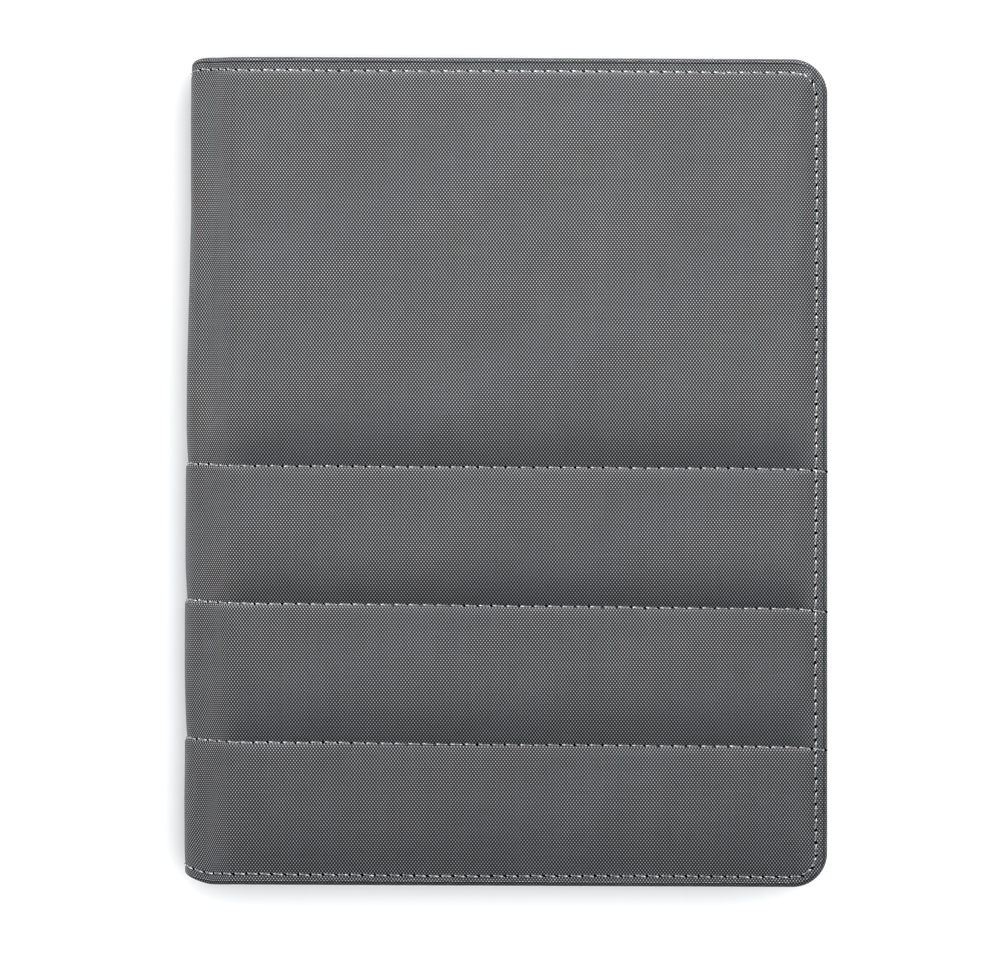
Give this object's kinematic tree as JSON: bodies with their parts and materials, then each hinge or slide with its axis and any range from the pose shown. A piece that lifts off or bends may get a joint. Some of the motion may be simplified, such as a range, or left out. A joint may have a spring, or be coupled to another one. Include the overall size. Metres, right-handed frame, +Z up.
{
  "type": "passport holder wallet",
  "caption": "Soft folding passport wallet with a padded cover quilted by straight seams, rounded fore corners, a rolled spine, a passport sleeve and stepped card slots.",
  "frame": {"origin": "centre of the closed wallet's outline, on the surface that its back cover lies on", "axes": "+Z up through the closed covers, +Y towards the head of the wallet, +X from the spine to the fore edge"},
  "size_m": [0.112, 0.144, 0.016],
  "materials": {
    "shell_cloth": "plain-weave coated polyester, dark grey with lighter yarn crowns, soft sheen",
    "lining_cloth": "fine plain-weave lining, charcoal, slight sheen",
    "binding": "ribbed grosgrain binding, charcoal",
    "wadding": "bonded polyester wadding, off-white, matte and fibrous",
    "board": "thin flexible board, matte",
    "sewing_thread": "bonded light grey polyester thread, slight gloss"
  },
  "bodies": {
    "back_cover": {"back_outer_fabric": "shell_cloth", "back_wadding_1": "wadding", "back_wadding_2": "wadding", "back_wadding_3": "wadding", "back_wadding_4": "wadding", "back_stiffener": "board", "back_lining": "lining_cloth", "passport_sleeve": "lining_cloth", "passport_sleeve_hem": "binding", "back_perimeter_thread": "sewing_thread", "back_quilt_thread_1": "sewing_thread", "back_quilt_thread_2": "sewing_thread", "back_quilt_thread_3": "sewing_thread"},
    "spine": {"spine_outer_fabric": "shell_cloth", "spine_wadding_1": "wadding", "spine_wadding_2": "wadding", "spine_wadding_3": "wadding", "spine_wadding_4": "wadding", "spine_lining": "lining_cloth", "spine_quilt_thread_1": "sewing_thread", "spine_quilt_thread_2": "sewing_thread", "spine_quilt_thread_3": "sewing_thread", "spine_head_thread": "sewing_thread", "spine_tail_thread": "sewing_thread"},
    "front_cover": {"front_outer_fabric": "shell_cloth", "front_wadding_1": "wadding", "front_wadding_2": "wadding", "front_wadding_3": "wadding", "front_wadding_4": "wadding", "front_stiffener": "board", "front_lining": "lining_cloth", "slip_pocket": "lining_cloth", "slip_pocket_hem": "binding", "card_pocket_1": "lining_cloth", "card_pocket_2": "lining_cloth", "card_pocket_3": "lining_cloth", "card_pocket_hem_1": "binding", "card_pocket_hem_2": "binding", "card_pocket_hem_3": "binding", "front_perimeter_thread": "sewing_thread", "front_quilt_thread_1": "sewing_thread", "front_quilt_thread_2": "sewing_thread", "front_quilt_thread_3": "sewing_thread"}
  },
  "joints": [
    {"name": "spine_fold", "type": "hinge", "parent": "back_cover", "child": "spine", "pos_m": [-0.05428, 0, 0.00172], "axis": [0, -1, 0], "range_deg": [0, 90]},
    {"name": "cover_fold", "type": "hinge", "parent": "spine", "child": "front_cover", "pos_m": [-0.05428, 0, 0.01428], "axis": [0, -1, 0], "range_deg": [0, 90]}
  ],
  "couplings": [
    {"joint": "cover_fold", "follows": "spine_fold", "ratio": 1}
  ]
}
